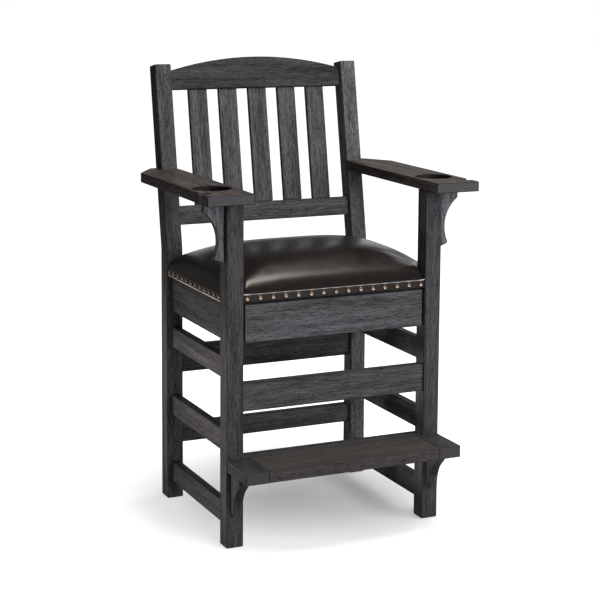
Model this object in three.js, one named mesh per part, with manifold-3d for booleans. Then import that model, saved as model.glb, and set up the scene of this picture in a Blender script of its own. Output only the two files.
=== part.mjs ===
// Billiard spectator chair: a tall armchair of black-stained wood with a raked slat back, a crowned leather
// seat with a nailed edge, a drawer under the seat, a footrest, and arms with a cup recess and a cue notch.
// Millimetres, +Z up, the front towards -Y. The origin is on the floor under the middle of the chair.

import * as THREE from 'three';
import { mergeVertices } from 'three/addons/utils/BufferGeometryUtils.js';
import Module from 'manifold-3d';

const wasm = await Module();
wasm.setup();

// Frame of four square posts. Depths run back from the front faces of the front posts.
const frameWidth = 607; // over the outer faces of the posts
const postSize = 46;
const sideSpan = 391; // between a front post and a rear post
const postEase = 2; // rounding of the long edges
const jointGap = 0.3; // air left between pieces that are glued or screwed together
const overrun = 5; // how far a cutter runs past the face that it opens

// Rear posts, which lean back above the bend, and the front posts, which carry the arms
const bendRise = 49.8; // of the bend above the seat deck
const backAngleDegrees = 10.2;
const rakedLength = 505.8; // from the bend to the top, along the lean
const armUnderside = 887.7;
const postTenonSize = 22;
const postTenonHeight = 8;

// Nylon glides let into the feet
const glideStand = 1.2; // how far they lift the feet
const glideRadius = 11;
const glideThickness = 4.5;
const glideRounding = 0.8;

// Rails and stretchers, with blind tenons
const railThickness = 22;
const railEase = 1.8;
const sideInset = 14.5; // side rails lie this far inside the posts' outer faces
const frontRecess = 5; // front pieces lie this far behind the posts' front faces
const rearRecess = 12.5; // rear rails lie this far behind the rear posts' front faces
const tenonThickness = 9.5;
const tenonLength = 15;
const tenonShoulder = 7;
const apronBottom = 526.9;
const apronHeight = 100.8;
const sideUpperHeight = 55.8;
const sideMiddleHeight = 56.3;
const sideLowerHeight = 56.7;
const rearUpperHeight = 75;
const rearLowerHeight = 53.7;
const frontStretcherHeight = 74.2;

// The free height under the aprons, shared out below, between and above the rails of each side
const sideGapShares = [0.1325, 0.3723, 0.3733, 0.1219];
const rearGapShares = [0.3832, 0.3631, 0.2537];
const frontGapShares = [0.538, 0.462]; // from the footrest's top

// Back: lengths along the lean start at the bend, depths at the posts' front faces
const backRailThickness = 24;
const backRailRecess = 11;
const lowerBackRailStart = 64.2;
const lowerBackRailHeight = 52.3;
const crestDrop = 17.4; // of the crest rail's ends below the tops of the posts
const crestEndHeight = 52.3;
const crestRise = 35.2; // of the arched top edge at the middle
const slatCount = 5;
const slatWidth = 54.5;
const slatPostGap = 52.6; // from each post to the nearest slat
const slatThickness = 13;
const slatTenonThickness = 6.5;
const slatTenonLength = 12;
const slatTenonShoulder = 5;

// Arms
const armThickness = 26.3;
const armFrontReach = 63.7; // ahead of the front posts
const armWidth = 125.4;
const armInnerReach = 4; // past the posts' inner faces
const armPostLap = 35.4; // of the arm's outer part along the rear post's side
const armChamferAcross = 53.2; // the clipped rear outer corner
const armChamferAlong = 81;
const armEase = 1.9;
const armCorner = 3; // plan rounding of the corners
const cupRadius = 49.5;
const cupDepth = 15;
const cupPostDistance = 25; // from the front post's rear face back to the cup's centre
const cupRimEase = 1.5;
const cueNotchWidth = 26;
const cueNotchDepth = 26;
const cueNotchRadius = 12.5;
const cueNotchFromFront = 51.5; // from the arm's front edge to the notch's middle

// Corbels under the arms, on the outer faces of the front posts
const corbelThickness = 17.5;
const corbelRecess = 14;
const corbelReach = 55.8;
const corbelHeight = 154.5;
const corbelLip = 24.5; // straight drop under the arm
const corbelWaist = 18; // least reach, at the middle of the sweep
const corbelSweepRadius = 92.5;
const corbelTip = 27.6;
const corbelEase = 1.8;

// Footrest with breadboard ends, its rail between the posts and its two brackets
const footrestTop = 231.8;
const footrestThickness = 30.8;
const footrestReach = 125.2; // ahead of the front posts
const footrestEndInset = 2.2; // of each end inside the post's outer face
const footrestEndWidth = 62;
const footrestEase = 2;
const footrestSeamEase = 1.2;
const tongueThickness = 8;
const tongueLength = 10;
const tongueStop = 16; // the tongue ends this far inside the front and rear edges
const footrestRailThickness = 43.5;
const footrestRailHeight = 45;
const footrestRailRecess = 2;
const bracketThickness = 25;
const bracketReach = 59;
const bracketHeight = 109;
const bracketLip = 27;
const bracketToe = 19.5; // reach at the foot
const bracketToeHeight = 7;

// Seat deck: a board on the aprons, notched round the posts, which overhangs the side aprons
const deckThickness = 21.5;
const deckEase = 1.5;
const deckNotchGap = 1;

// Leather band on the deck's edges, with domed nails
const bandThickness = 2.2;
const bandEase = 0.8;
const sideBandInset = 2; // inside the posts' outer faces
const rearBandProud = 0.4; // past the face of the rear apron
const frontBandProud = 1.5; // past the face of the drawer front
const bandEndGap = 0.8; // short of the posts
const nailRadius = 4.7;
const nailDome = 2.6;
const nailSunk = 0.6;
const frontNailCount = 15;
const frontNailMargin = 10.3; // from the band's end to the first nail's middle
const sideNailCount = 12;
const sideNailMargin = 13.3;
const nailHeight = 11.7; // above the band's lower edge

// Cushion
const cushionWall = 24; // height of the side before it turns over to the crown
const cushionCrown = 64.5;
const cushionBulge = 1.5; // how far the side stands past the band
const cushionTuck = 5; // how far the side is drawn in at the band
const cushionPostGap = 1.5;
const cushionCorner = 6;

// Drawer
const drawerFrontThickness = 20;
const drawerFrontGap = 5.5; // beside each post
const drawerTopGap = 3.1;
const drawerSideThickness = 12;
const drawerDeckGap = 4.3; // under the deck, which keeps the open drawer level
const drawerSideGap = 8.5; // between the box and the front posts
const drawerSideLift = 15.8; // above the aprons' lower edges
const drawerRearGap = 11.2; // between the box and the corner blocks
const drawerBottomThickness = 6;
const drawerGrooveDepth = 5;
const drawerGrooveLift = 8;
const runnerShelfThickness = 11;
const runnerShelfInset = 3; // under the inner face of the drawer side
const runnerGuideHeight = 30;
const runnerGuideGap = 1;

// Corner blocks between the aprons, behind the drawer
const blockReach = 40;
const blockHeight = 40;
const blockDrop = 6; // below the deck

// Facets
const easeSteps = 1;
const cornerSteps = 1; // gives two facets to a rounded edge
const planSteps = 3;
const sweepSteps = 6;
const crestSteps = 12;
const cupFacets = 40;
const glideFacets = 20;
const nailFacets = 8;
const nailRings = 2;
const endEaseShare = 0.6; // of the long edges' rounding, on the ends of a plank

// Places worked out from the sizes
const postOuter = frameWidth / 2;
const postInner = postOuter - postSize;
const postAxis = postOuter - postSize / 2;
const rearFace = postSize + sideSpan;
const rearBack = rearFace + postSize;
const backAngle = THREE.MathUtils.degToRad(backAngleDegrees);
const railOuter = postOuter - sideInset;
const railInner = railOuter - railThickness;
const rearRailFront = rearFace + rearRecess;
const rearRailBack = rearRailFront + railThickness;
const innerSpan = 2 * (postInner - jointGap);
const railSpan = sideSpan - 2 * jointGap;
const armInnerEdge = postInner - armInnerReach;
const armOuterEdge = armInnerEdge + armWidth;
const armTop = armUnderside + armThickness;
const deckUnderside = apronBottom + apronHeight + jointGap;
const deckTop = deckUnderside + deckThickness;
const bendHeight = deckTop + bendRise;
const footrestUnderside = footrestTop - footrestThickness;

const chair = new THREE.Group();

// The back's own frame: its Z runs up the lean and its Y is the depth behind the posts' front faces.
const back = new THREE.Group();
back.position.set(0, rearFace, bendHeight);
back.rotation.x = -backAngle;
back.updateMatrix();
chair.add(back);

const finishes = {
  blackWood: { color: '#2c2c2d', roughness: 0.6, metalness: 0 },
  drawerWood: { color: '#b08d62', roughness: 0.7, metalness: 0 },
  plywood: { color: '#b99a6d', roughness: 0.8, metalness: 0 },
  leather: { color: '#15110f', roughness: 0.35, metalness: 0 },
  nylon: { color: '#1a1a1a', roughness: 0.5, metalness: 0 },
};

// Turns that lay an extrusion along X, Y or Z. The outline's upright stays upright on X and Y.
const axisX = new THREE.Vector3(1, 0, 0);
const axisY = new THREE.Vector3(0, 1, 0);
const axisZ = new THREE.Vector3(0, 0, 1);
const lay = {
  x: new THREE.Matrix4().makeBasis(axisY, axisZ, axisX),
  y: new THREE.Matrix4().makeBasis(axisX, axisZ, axisY.clone().negate()),
  z: new THREE.Matrix4(),
};

// A closed outline through corners [x, y, radius], each rounded by an arc of its radius.
function outline(corners) {
  const shape = new THREE.Shape();
  const at = (i) => new THREE.Vector2(...corners[(i + corners.length) % corners.length].slice(0, 2));
  corners.forEach(([, , radius = 0], i) => {
    const corner = at(i);
    const toLast = at(i - 1).sub(corner).normalize();
    const toNext = at(i + 1).sub(corner).normalize();
    if (radius === 0) {
      if (i === 0) shape.moveTo(corner.x, corner.y);
      else shape.lineTo(corner.x, corner.y);
      return;
    }
    const half = Math.acos(toLast.dot(toNext)) / 2;
    const start = corner.clone().addScaledVector(toLast, radius / Math.tan(half));
    const end = corner.clone().addScaledVector(toNext, radius / Math.tan(half));
    const middle = toLast.clone().add(toNext).setLength(radius / Math.sin(half)).add(corner);
    const clockwise = toNext.cross(toLast) < 0;
    shape.absarc(
      middle.x, middle.y, radius,
      start.sub(middle).angle(), end.sub(middle).angle(), clockwise,
    );
  });
  shape.closePath();
  return shape;
}

// An extrusion centred on its depth, with its two faces' edges eased.
function extruded(shape, depth, ease, curveSegments, grain = 'z') {
  const geometry = new THREE.ExtrudeGeometry(shape, {
    depth: depth - 2 * ease,
    curveSegments,
    bevelEnabled: ease > 0,
    bevelThickness: ease,
    bevelSize: ease,
    bevelOffset: -ease,
    bevelSegments: easeSteps,
  });
  return geometry.translate(0, 0, ease - depth / 2).applyMatrix4(lay[grain]);
}

function rectangle(width, height, radius) {
  const [x, y] = [width / 2, height / 2];
  return outline([[-x, -y, radius], [x, -y, radius], [x, y, radius], [-x, y, radius]]);
}

// A straight piece with eased edges, centred, with its grain along x, y or z.
function plank(size, grain, ease) {
  const section = { x: [size.y, size.z], y: [size.x, size.z], z: [size.x, size.y] }[grain];
  return extruded(rectangle(...section, ease), size[grain], ease * endEaseShare, cornerSteps, grain);
}

function block(size, centre) {
  return new THREE.BoxGeometry(size.x, size.y, size.z).translate(centre.x, centre.y, centre.z);
}

// A turned shape about the vertical, from a profile of [radius, height].
function turned(profile, facets) {
  const points = profile.map(([radius, height]) => new THREE.Vector2(radius, height));
  return new THREE.LatheGeometry(points, facets).rotateX(Math.PI / 2);
}

// Geometry with its shared vertices merged, ready to be cut, joined or mirrored.
function welded(geometry) {
  const bare = new THREE.BufferGeometry();
  bare.setAttribute('position', geometry.getAttribute('position'));
  bare.setIndex(geometry.getIndex());
  return mergeVertices(bare);
}

function solid(geometry) {
  const { attributes, index } = welded(geometry);
  return new wasm.Manifold(new wasm.Mesh({
    numProp: attributes.position.itemSize,
    vertProperties: Float32Array.from(attributes.position.array),
    triVerts: Uint32Array.from(index.array),
  }));
}

function geometryOf(body) {
  const { vertProperties, triVerts, numProp } = body.getMesh();
  const geometry = new THREE.BufferGeometry();
  geometry.setAttribute('position', new THREE.BufferAttribute(vertProperties, numProp));
  geometry.setIndex(new THREE.BufferAttribute(triVerts, 1));
  return geometry;
}

function joined(first, ...others) {
  return geometryOf(others.reduce((body, other) => body.add(solid(other)), solid(first)));
}

function cut(first, ...cutters) {
  return geometryOf(cutters.reduce((body, cutter) => body.subtract(solid(cutter)), solid(first)));
}

// The same piece for the other side of the chair.
function mirrored(geometry) {
  const copy = welded(geometry).scale(-1, 1, 1);
  const corners = Array.from(copy.index.array);
  const flipped = corners.map((_, i) => corners[i - (i % 3) + ((3 - (i % 3)) % 3)]);
  copy.setIndex(flipped);
  return copy;
}

function add(name, geometry, finish, x, y, z, group = chair) {
  const faceted = geometry.index ? geometry.toNonIndexed() : geometry;
  faceted.computeVertexNormals();
  const mesh = new THREE.Mesh(faceted, new THREE.MeshStandardMaterial(finishes[finish]));
  mesh.name = name;
  mesh.position.set(x, y, z);
  group.add(mesh);
  return mesh;
}

// Adds the right-hand piece and its mirror image on the left.
function addPair(name, geometry, finish, x, y, z) {
  add(`${name}_right`, geometry, finish, x, y, z);
  add(`${name}_left`, mirrored(geometry), finish, -x, y, z);
}

// A rail's size and place: grain along x or y, and its length is from shoulder to shoulder.
function rail(grain, x, y, bottom, height, length, thickness = railThickness) {
  const size = { x: thickness, y: thickness, z: height };
  size[grain] = length;
  return { grain, size, centre: new THREE.Vector3(x, y, bottom + height / 2) };
}

// The tenons of a rail as one bar through it, grown by a gap where it is the cutter of the mortises.
function tenonBar({ grain, size, centre }, gap) {
  const across = grain === 'x' ? 'y' : 'x';
  const bar = { z: size.z - 2 * tenonShoulder + 2 * gap };
  bar[grain] = size[grain] + 2 * tenonLength + 2 * gap;
  bar[across] = tenonThickness + 2 * gap;
  return block(bar, centre);
}

function railGeometry(piece) {
  const { centre, size, grain } = piece;
  const bar = tenonBar(piece, 0).translate(-centre.x, -centre.y, -centre.z);
  return joined(plank(size, grain, railEase), bar);
}

// Lower edges of rails one above the other, with the free height between two levels shared out around them.
function stackBottoms(base, ceiling, heights, shares) {
  const free = heights.reduce((left, height) => left - height, ceiling - base);
  let top = base;
  return heights.map((height, i) => {
    const bottom = top + free * shares[i];
    top = bottom + height;
    return bottom;
  });
}
const sideHeights = [sideLowerHeight, sideMiddleHeight, sideUpperHeight];
const [sideLowerBottom, sideMiddleBottom, sideUpperBottom] = stackBottoms(
  0, apronBottom, sideHeights, sideGapShares,
);
const [rearLowerBottom, rearUpperBottom] = stackBottoms(
  0, apronBottom, [rearLowerHeight, rearUpperHeight], rearGapShares,
);
const [frontStretcherBottom] = stackBottoms(
  footrestTop, apronBottom, [frontStretcherHeight], frontGapShares,
);

// Rails that cross the chair, then the right-hand side's rails.
const frontRailY = frontRecess + railThickness / 2;
const rearRailY = rearRailFront + railThickness / 2;
const footrestRailY = footrestRailRecess + footrestRailThickness / 2;
const sideRailX = railOuter - railThickness / 2;
const sideRailY = postSize + sideSpan / 2;
const crossRails = {
  front_stretcher: rail('x', 0, frontRailY, frontStretcherBottom, frontStretcherHeight, innerSpan),
  rear_stretcher_upper: rail('x', 0, rearRailY, rearUpperBottom, rearUpperHeight, innerSpan),
  rear_stretcher_lower: rail('x', 0, rearRailY, rearLowerBottom, rearLowerHeight, innerSpan),
  rear_apron: rail('x', 0, rearRailY, apronBottom, apronHeight, innerSpan),
  footrest_rail: rail(
    'x', 0, footrestRailY, footrestTop - footrestRailHeight, footrestRailHeight, innerSpan,
    footrestRailThickness,
  ),
};
const sideRails = {
  side_apron: rail('y', sideRailX, sideRailY, apronBottom, apronHeight, railSpan),
  side_stretcher_upper: rail('y', sideRailX, sideRailY, sideUpperBottom, sideUpperHeight, railSpan),
  side_stretcher_middle: rail('y', sideRailX, sideRailY, sideMiddleBottom, sideMiddleHeight, railSpan),
  side_stretcher_lower: rail('y', sideRailX, sideRailY, sideLowerBottom, sideLowerHeight, railSpan),
};
for (const [name, piece] of Object.entries(crossRails)) {
  add(name, railGeometry(piece), 'blackWood', ...piece.centre);
}
for (const [name, piece] of Object.entries(sideRails)) {
  addPair(name, railGeometry(piece), 'blackWood', ...piece.centre);
}

// Back rails in the back's own frame. The crest's top edge is one arc from post to post.
const backRailY = backRailRecess + backRailThickness / 2;
const crestHalf = innerSpan / 2;
const crestStart = rakedLength - crestDrop - crestEndHeight;
const crestRadius = (crestHalf ** 2 + crestRise ** 2) / (2 * crestRise);
const crestSpread = Math.asin(crestHalf / crestRadius);
const crestShape = new THREE.Shape();
crestShape.moveTo(-crestHalf, 0);
crestShape.lineTo(crestHalf, 0);
crestShape.lineTo(crestHalf, crestEndHeight);
crestShape.absarc(
  0, crestEndHeight + crestRise - crestRadius, crestRadius,
  Math.PI / 2 - crestSpread, Math.PI / 2 + crestSpread, false,
);
crestShape.closePath();
const crestRail = rail('x', 0, backRailY, crestStart, crestEndHeight, innerSpan, backRailThickness);
const lowerBackRail = rail(
  'x', 0, backRailY, lowerBackRailStart, lowerBackRailHeight, innerSpan, backRailThickness,
);

// Slats stand between the two back rails, tenoned into both.
const slatStart = lowerBackRailStart + lowerBackRailHeight;
const slatLength = crestStart - slatStart - 2 * jointGap;
const slatMiddle = (slatStart + crestStart) / 2;
const slatSize = { x: slatWidth, y: slatThickness, z: slatLength };
const slatPitch = (2 * (postInner - slatPostGap) - slatWidth) / (slatCount - 1);
const slatPlaces = Array.from({ length: slatCount }, (_, i) => (i - (slatCount - 1) / 2) * slatPitch);
function slatTenon(x, gap) {
  const size = {
    x: slatWidth - 2 * slatTenonShoulder + 2 * gap,
    y: slatTenonThickness + 2 * gap,
    z: slatLength + 2 * slatTenonLength + 2 * gap,
  };
  return block(size, { x, y: backRailY, z: slatMiddle });
}
const slatMortises = slatPlaces.map((x) => slatTenon(x, jointGap));
const slatGeometry = joined(
  plank(slatSize, 'z', railEase),
  slatTenon(0, 0).translate(0, -backRailY, -slatMiddle),
);
slatPlaces.forEach((x, i) => {
  add(`back_slat_${i + 1}`, slatGeometry, 'blackWood', x, backRailY, slatMiddle, back);
});

const crestGeometry = joined(
  extruded(crestShape, backRailThickness, railEase, crestSteps, 'y').translate(0, backRailY, crestStart),
  tenonBar(crestRail, 0),
);
const lowerBackRailGeometry = railGeometry(lowerBackRail).translate(...lowerBackRail.centre);
for (const [name, geometry] of [['crest_rail', crestGeometry], ['lower_back_rail', lowerBackRailGeometry]]) {
  add(name, cut(geometry, ...slatMortises), 'blackWood', 0, 0, 0, back);
}

// Front posts: square, with a stub tenon up into the arm, mortises for the rails and a socket for the glide.
const postTenonPlace = { x: postAxis, y: postSize / 2 };
function postTenon(gap) {
  const size = {
    x: postTenonSize + 2 * gap, y: postTenonSize + 2 * gap, z: 2 * (postTenonHeight + gap),
  };
  return block(size, { ...postTenonPlace, z: armUnderside - jointGap });
}
function glideSocket(y) {
  const [radius, depth] = [glideRadius + jointGap, glideThickness - glideStand + jointGap];
  const profile = [[0, -overrun], [radius, -overrun], [radius, depth], [0, depth]];
  return turned(profile, glideFacets).translate(postAxis, y, glideStand);
}
const mortises = [...Object.values(crossRails), ...Object.values(sideRails)]
  .map((piece) => tenonBar(piece, jointGap));
const backMortises = [crestRail, lowerBackRail]
  .map((piece) => tenonBar(piece, jointGap).applyMatrix4(back.matrix));
const frontPostHeight = armUnderside - jointGap - glideStand;
const frontPostY = postSize / 2;
const frontPost = cut(
  joined(
    plank({ x: postSize, y: postSize, z: frontPostHeight }, 'z', postEase)
      .translate(postAxis, frontPostY, glideStand + frontPostHeight / 2),
    postTenon(0),
  ),
  ...mortises,
  glideSocket(frontPostY),
).translate(-postAxis, -frontPostY, -glideStand);
addPair('front_post', frontPost, 'blackWood', postAxis, frontPostY, glideStand);

// Rear posts: sawn from one board, upright to the bend and then leaning back, with a square-cut top.
const rakedPoint = (along, depth) => {
  const point = new THREE.Vector3(0, depth, along).applyMatrix4(back.matrix);
  return [point.y, point.z];
};
const bendBack = bendHeight - postSize * Math.tan(backAngle / 2);
const rearProfile = outline([
  [rearFace, glideStand], [rearBack, glideStand], [rearBack, bendBack],
  [...rakedPoint(rakedLength, postSize), postEase], [...rakedPoint(rakedLength, 0), postEase],
  [rearFace, bendHeight],
]);
const rearPostY = rearFace + postSize / 2;
const rearPost = cut(
  extruded(rearProfile, postSize, postEase, cornerSteps, 'x').translate(postAxis, 0, 0),
  ...mortises,
  ...backMortises,
  glideSocket(rearPostY),
).translate(-postAxis, -rearPostY, -glideStand);
addPair('rear_post', rearPost, 'blackWood', postAxis, rearPostY, glideStand);

// Glides: flanged nylon buttons in sockets in the feet.
const glide = turned([
  [0, 0], [glideRadius - glideRounding, 0], [glideRadius, glideRounding],
  [glideRadius, glideThickness], [0, glideThickness],
], glideFacets);
addPair('foot_glide_front', glide, 'nylon', postAxis, frontPostY, 0);
addPair('foot_glide_rear', glide, 'nylon', postAxis, rearPostY, 0);

// Arms: a flat board with a blind cup recess and a U-shaped cue notch in its outer edge. Its rear end is cut
// to the lean of the rear post and laps past the post's outer side, where its corner is clipped. Its underside
// takes the front post's stub tenon.
const armRear = rearFace + (armTop - bendHeight) * Math.tan(backAngle) + armPostLap;
const armShoulderEdge = armOuterEdge - armChamferAcross;
const notchBottom = armOuterEdge - cueNotchDepth;
const notchMiddle = cueNotchFromFront - armFrontReach;
const notchFront = notchMiddle - cueNotchWidth / 2;
const notchRear = notchMiddle + cueNotchWidth / 2;
const armPlan = outline([
  [armInnerEdge, -armFrontReach, armCorner],
  [armOuterEdge, -armFrontReach, armCorner],
  [armOuterEdge, notchFront, armCorner],
  [notchBottom, notchFront, cueNotchRadius],
  [notchBottom, notchRear, cueNotchRadius],
  [armOuterEdge, notchRear, armCorner],
  [armOuterEdge, armRear - armChamferAlong, armCorner],
  [armShoulderEdge, armRear, armCorner],
  [armInnerEdge, armRear],
]);
const cupAcross = (armInnerEdge + armOuterEdge) / 2;
const cupBack = postSize + cupPostDistance;
const cupCutter = turned([
  [0, -cupDepth], [cupRadius, -cupDepth], [cupRadius, -cupRimEase],
  [cupRadius + cupRimEase, 0], [cupRadius + cupRimEase, overrun], [0, overrun],
], cupFacets).translate(cupAcross, cupBack, armTop);
const armLimit = armRear + armFrontReach;
const postSide = postOuter + jointGap;
const rearPlane = block(
  { x: postSide, y: armLimit, z: armLimit },
  { x: postSide / 2, y: armLimit / 2 - jointGap, z: (armUnderside - bendHeight) / Math.cos(backAngle) },
).applyMatrix4(back.matrix);
const armMiddle = { x: cupAcross, y: sideRailY, z: armUnderside + armThickness / 2 };
const arm = cut(
  extruded(armPlan, armThickness, armEase, planSteps).translate(0, 0, armMiddle.z),
  cupCutter,
  rearPlane,
  postTenon(jointGap),
).translate(-armMiddle.x, -armMiddle.y, -armMiddle.z);
addPair('arm', arm, 'blackWood', armMiddle.x, armMiddle.y, armMiddle.z);

// Corbels: a short lip, one long hollow sweep to a nosed tip, and an under-curve back to the post.
const sweepUp = Math.sqrt(corbelSweepRadius ** 2 - (corbelSweepRadius - corbelReach + corbelWaist) ** 2);
const sweepDown = Math.sqrt(corbelSweepRadius ** 2 - (corbelSweepRadius - corbelTip + corbelWaist) ** 2);
const corbelTipDrop = corbelLip + sweepUp + sweepDown;
const corbelToe = corbelHeight - corbelTipDrop;
const noseShares = { pullX: 0.97, pullZ: 0.52, endX: 0.52, endZ: 0.68 };
const corbelShape = new THREE.Shape();
corbelShape.moveTo(0, 0);
corbelShape.lineTo(0, -corbelHeight);
corbelShape.lineTo(corbelTip * noseShares.endX, -corbelTipDrop - corbelToe * noseShares.endZ);
corbelShape.quadraticCurveTo(
  corbelTip * noseShares.pullX, -corbelTipDrop - corbelToe * noseShares.pullZ,
  corbelTip, -corbelTipDrop,
);
corbelShape.absarc(
  corbelWaist + corbelSweepRadius, -corbelLip - sweepUp, corbelSweepRadius,
  Math.PI + Math.asin(sweepDown / corbelSweepRadius), Math.PI - Math.asin(sweepUp / corbelSweepRadius), true,
);
corbelShape.lineTo(corbelReach, 0);
corbelShape.closePath();
const corbel = extruded(corbelShape, corbelThickness, corbelEase, sweepSteps, 'y');
addPair(
  'arm_corbel', corbel, 'blackWood',
  postOuter + jointGap, corbelRecess + corbelThickness / 2, armUnderside - jointGap,
);

// Footrest: a long board between two breadboard ends, all flush with the rail between the posts.
const footrestHalf = postOuter - footrestEndInset;
const seam = footrestHalf - footrestEndWidth;
const footrestMiddleZ = footrestUnderside + footrestThickness / 2;
const boardRear = footrestRailRecess - jointGap;
const boardDepth = footrestReach + boardRear;
const boardMiddleY = (boardRear - footrestReach) / 2;
const endDepth = footrestReach - jointGap;
const endMiddleY = -jointGap - endDepth / 2;
function tongue(gap) {
  const size = {
    x: 2 * (seam + tongueLength + gap),
    y: endDepth - 2 * tongueStop + 2 * gap,
    z: tongueThickness + 2 * gap,
  };
  return block(size, { x: 0, y: endMiddleY, z: footrestMiddleZ });
}
const boardSize = { x: 2 * (seam - jointGap / 2), y: boardDepth, z: footrestThickness };
const boardSection = rectangle(boardSize.y, boardSize.z, footrestEase);
const board = joined(
  extruded(boardSection, boardSize.x, footrestSeamEase, cornerSteps, 'x'),
  tongue(0).translate(0, -boardMiddleY, -footrestMiddleZ),
);
add('footrest_board', board, 'blackWood', 0, boardMiddleY, footrestMiddleZ);
const endSize = { x: footrestEndWidth - jointGap / 2, y: endDepth, z: footrestThickness };
const endMiddleX = footrestHalf - endSize.x / 2;
const footrestEnd = cut(
  extruded(rectangle(endSize.x, endSize.z, footrestSeamEase), endSize.y, footrestSeamEase, cornerSteps, 'y')
    .translate(endMiddleX, endMiddleY, footrestMiddleZ),
  tongue(jointGap),
).translate(-endMiddleX, -endMiddleY, -footrestMiddleZ);
addPair('footrest_end', footrestEnd, 'blackWood', endMiddleX, endMiddleY, footrestMiddleZ);

// Brackets under the footrest, with the corbels' sweep in a shorter form.
const bracketRun = bracketReach - bracketToe;
const bracketDrop = bracketHeight - bracketLip - bracketToeHeight;
const bracketRadius = (bracketRun ** 2 + bracketDrop ** 2) / (2 * bracketRun);
const bracketShape = new THREE.Shape();
bracketShape.moveTo(0, 0);
bracketShape.lineTo(-bracketReach, 0);
bracketShape.lineTo(-bracketReach, -bracketLip);
bracketShape.absarc(
  -bracketToe - bracketRadius, bracketToeHeight - bracketHeight, bracketRadius,
  Math.asin(bracketDrop / bracketRadius), 0, true,
);
bracketShape.lineTo(-bracketToe, -bracketHeight);
bracketShape.lineTo(0, -bracketHeight);
bracketShape.closePath();
const bracket = extruded(bracketShape, bracketThickness, corbelEase, sweepSteps, 'x');
addPair(
  'footrest_bracket', bracket, 'blackWood',
  postAxis, -jointGap, footrestUnderside - jointGap,
);

// Seat plan: a rectangle whose corners are notched round the posts. Inset moves it inwards all round.
const seatHalf = postOuter - sideBandInset;
const seatFront = frontRecess - frontBandProud;
const seatRear = rearRailBack + rearBandProud;
function seatPlan(inset, notchGap, radius) {
  const [x, front, rear] = [seatHalf - inset, seatFront + inset, seatRear - inset];
  const [notchX, frontNotch, rearNotch] = [postInner - notchGap, postSize + notchGap, rearFace - notchGap];
  return outline([
    [-notchX, front, radius], [notchX, front, radius], [notchX, frontNotch, radius],
    [x, frontNotch, radius], [x, rearNotch, radius], [notchX, rearNotch, radius],
    [notchX, rear, radius], [-notchX, rear, radius], [-notchX, rearNotch, radius],
    [-x, rearNotch, radius], [-x, frontNotch, radius], [-notchX, frontNotch, radius],
  ]);
}

// Deck: the board that carries the cushion.
const deckInset = bandThickness + jointGap;
const deck = extruded(
  seatPlan(deckInset, deckNotchGap, deckEase), deckThickness, deckEase * endEaseShare, cornerSteps,
).translate(0, 0, deckThickness / 2);
add('seat_deck', deck, 'plywood', 0, 0, deckUnderside);

// Nailed leather bands. Each lies on one edge of the deck, and its domed nails stand out of its face.
const nailArc = Array.from({ length: nailRings }, (_, i) => (i / nailRings) * (Math.PI / 2));
const nailProfile = [
  [0, -nailSunk], [nailRadius, -nailSunk],
  ...nailArc.map((angle) => [nailRadius * Math.cos(angle), nailDome * Math.sin(angle)]),
  [0, nailDome],
];
function band(length, count, margin) {
  const pitch = (length - 2 * margin) / (count - 1);
  const strip = plank({ x: length, y: bandThickness, z: deckThickness }, 'x', bandEase);
  const nails = Array.from({ length: count }, (_, i) =>
    turned(nailProfile, nailFacets)
      .rotateX(Math.PI / 2)
      .translate((i - (count - 1) / 2) * pitch, -bandThickness / 2, nailHeight - deckThickness / 2));
  return joined(strip, ...nails);
}
const crossBandLength = 2 * (postInner - bandEndGap);
const sideBandLength = sideSpan - 2 * bandEndGap;
const frontBand = band(crossBandLength, frontNailCount, frontNailMargin);
const rearBand = frontBand.clone().rotateZ(Math.PI);
const sideBand = band(sideBandLength, sideNailCount, sideNailMargin).rotateZ(Math.PI / 2);
const bandMiddle = bandThickness / 2;
const bandZ = deckUnderside + deckThickness / 2;
add('seat_band_front', frontBand, 'leather', 0, seatFront + bandMiddle, bandZ);
add('seat_band_rear', rearBand, 'leather', 0, seatRear - bandMiddle, bandZ);
addPair('seat_band', sideBand, 'leather', seatHalf - bandMiddle, sideRailY, bandZ);

// Cushion: rings of points round the notched plan. The side is drawn in at the band and swells above it, and
// the top is a crown that falls away to the sides, the front and the rear, each at its own rate.
const sideShares = [
  { tuck: 1, height: 0 }, { tuck: 0.45, height: 0.12 }, { tuck: 0.1, height: 0.35 },
  { tuck: 0, height: 0.6 }, { tuck: 0.2, height: 0.85 },
];
const topShares = [0.985, 0.955, 0.9, 0.82, 0.7, 0.54, 0.36, 0.18];
const crownPowers = { across: 3.8, front: 3.6, rear: 2.2 };
const seatMiddleY = (seatFront + seatRear) / 2;
const seatHalfDepth = (seatRear - seatFront) / 2;
function crownHeight(x, y) {
  const across = 1 - Math.min(1, Math.abs(x / seatHalf)) ** crownPowers.across;
  const power = y < seatMiddleY ? crownPowers.front : crownPowers.rear;
  const along = 1 - Math.min(1, Math.abs((y - seatMiddleY) / seatHalfDepth)) ** power;
  return cushionWall + cushionCrown * across * along;
}
const ringPlan = seatPlan(-cushionBulge, cushionPostGap, cushionCorner).getPoints(planSteps - 1);
const ringPoints = ringPlan.slice(1).flatMap((point, i) => {
  const last = ringPlan[i];
  const steps = Math.ceil(point.distanceTo(last) / (postSize + cushionCorner));
  return Array.from({ length: steps }, (_, k) => last.clone().lerp(point, (k + 1) / steps));
});
function scaledRing(scale, heightAt) {
  return ringPoints.map((point) => {
    const x = point.x * scale;
    const y = seatMiddleY + (point.y - seatMiddleY) * scale;
    return [x, y, heightAt(x, y)];
  });
}
const tuckScale = (cushionTuck + cushionBulge) / seatHalfDepth;
const rings = [
  ...sideShares.map(({ tuck, height }) => scaledRing(1 - tuck * tuckScale, () => height * cushionWall)),
  ...topShares.map((share) => scaledRing(share, crownHeight)),
];
const ringSize = ringPoints.length;
const underPole = rings.length * ringSize;
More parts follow.
